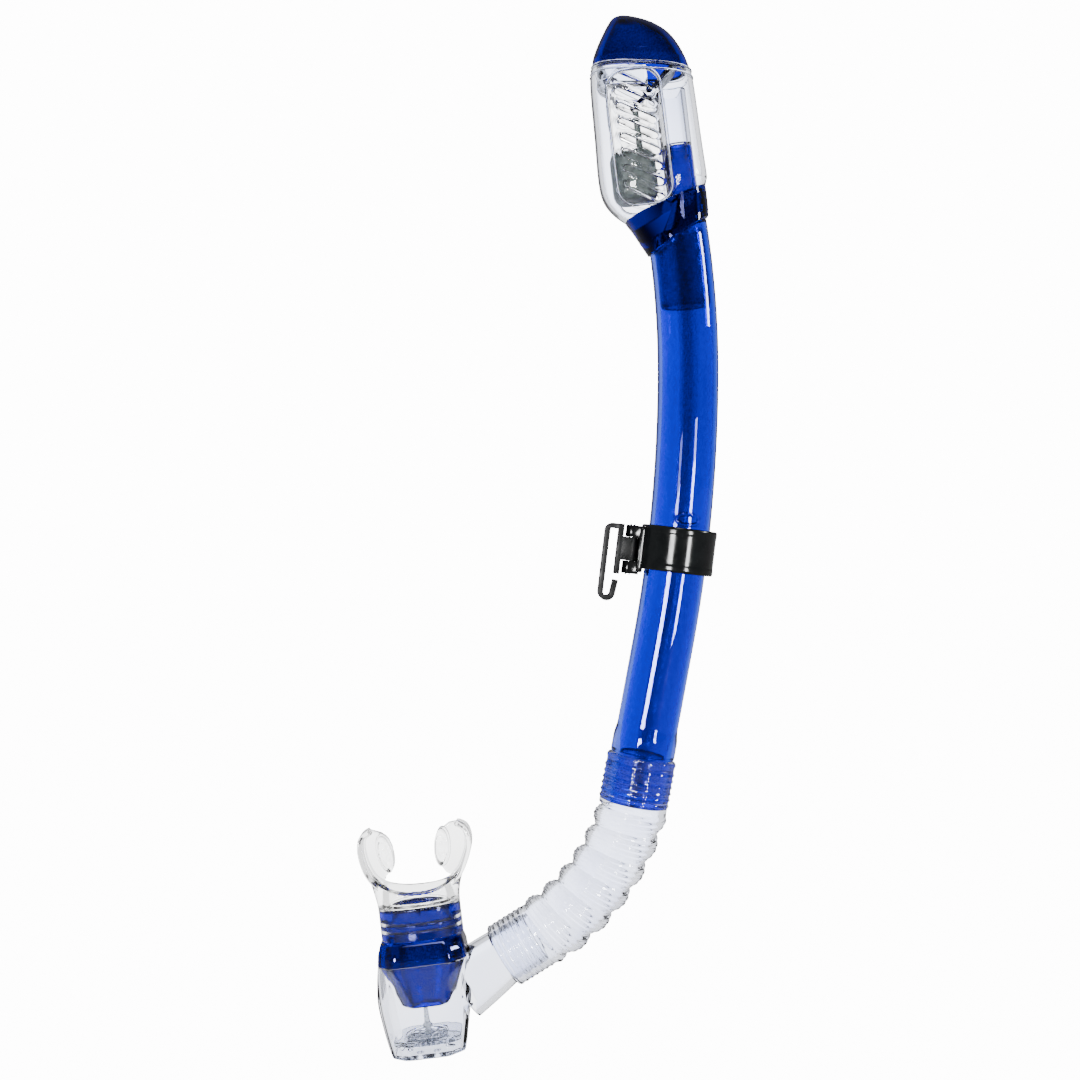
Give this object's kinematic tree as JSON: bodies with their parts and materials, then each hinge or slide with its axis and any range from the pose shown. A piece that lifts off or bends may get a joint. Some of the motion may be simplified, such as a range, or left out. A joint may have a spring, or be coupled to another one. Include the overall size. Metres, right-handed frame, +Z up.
{
  "type": "snorkel",
  "caption": "J-shaped dry-top snorkel: float-valve top, curved barrel, corrugated elbow hose, purge chamber, mouthpiece with bite tabs, and a keeper for a mask strap.",
  "frame": {"origin": "middle of the strap slot in the keeper's hook, where a mask strap holds the snorkel", "axes": "+Z up along the upright barrel, +X from the mouthpiece towards the barrel, +Y across the J, so the J lies in the XZ plane"},
  "size_m": [0.1514, 0.0364, 0.4318],
  "materials": {
    "tube_blue": "gloss, translucent",
    "blue_plastic": "gloss, translucent",
    "cap_blue": "gloss, translucent",
    "clear_plastic": "clear, polished",
    "grille_clear": "clear, lightly frosted",
    "clear_silicone": "clear silicone",
    "mouthpiece_silicone": "clear silicone, satin",
    "seal_silicone": "satin",
    "black_plastic": "gloss",
    "float_grey": "satin",
    "pin_metal": "brushed"
  },
  "bodies": {
    "barrel": {"main_tube": "tube_blue", "dry_top_housing": "clear_plastic", "front_grille": "grille_clear", "back_grille": "grille_clear", "top_cap": "cap_blue", "dry_top_base": "blue_plastic", "air_riser": "clear_plastic", "flap_hinge_pin": "pin_metal"},
    "float": {"float": "float_grey", "float_stem": "float_grey"},
    "flap": {"flap_lever": "blue_plastic", "flap_seal": "seal_silicone"},
    "keeper": {"keeper_band": "black_plastic", "keeper_pin": "pin_metal"},
    "keeper_clip": {"keeper_clip": "black_plastic"},
    "hose": {"flex_hose": "clear_silicone"},
    "chamber": {"purge_chamber": "clear_plastic", "mouthpiece_connector": "blue_plastic", "mouthpiece": "mouthpiece_silicone", "purge_seat": "clear_plastic", "purge_cover": "clear_plastic"},
    "purge_valve": {"purge_valve": "seal_silicone"}
  },
  "joints": [
    {"name": "float_slide", "type": "slide", "parent": "barrel", "child": "float", "axis": [-0.1219, 0, 0.9925], "range_m": [0, 0.0065]},
    {"name": "flap_hinge", "type": "hinge", "parent": "barrel", "child": "flap", "pos_m": [0.01634, 0, 0.19379], "axis": [0, 1, 0], "range_deg": [0, 38]},
    {"name": "keeper_slide", "type": "hinge", "parent": "barrel", "child": "keeper", "pos_m": [-0.5931, 0, 0.0775], "axis": [0, 1, 0], "range_deg": [0, 3]},
    {"name": "keeper_clip_hinge", "type": "hinge", "parent": "keeper", "child": "keeper_clip", "pos_m": [0.00801, 0, 0.00473], "axis": [0.1202, 0, 0.9928], "range_deg": [-40, 40]},
    {"name": "hose_bend", "type": "hinge", "parent": "barrel", "child": "hose", "pos_m": [-0.00728, 0, -0.13336], "axis": [0, 1, 0], "range_deg": [-40, 30], "stiffness_Nm_per_rad": 0.8, "springref_deg": 2.06, "deforming": ["flex_hose"]},
    {"name": "chamber_swivel", "type": "hinge", "parent": "hose", "child": "chamber", "pos_m": [-0.04475, 0, -0.16656], "axis": [0.848, 0, 0.5299], "range_deg": [-90, 90]},
    {"name": "purge_valve_lift", "type": "slide", "parent": "chamber", "child": "purge_valve", "axis": [0.1219, 0, -0.9925], "range_m": [0, 0.0015], "stiffness_N_per_m": 100}
  ],
  "couplings": [
    {"joint": "flap_hinge", "follows": "float_slide", "rad_per_m": 102}
  ]
}
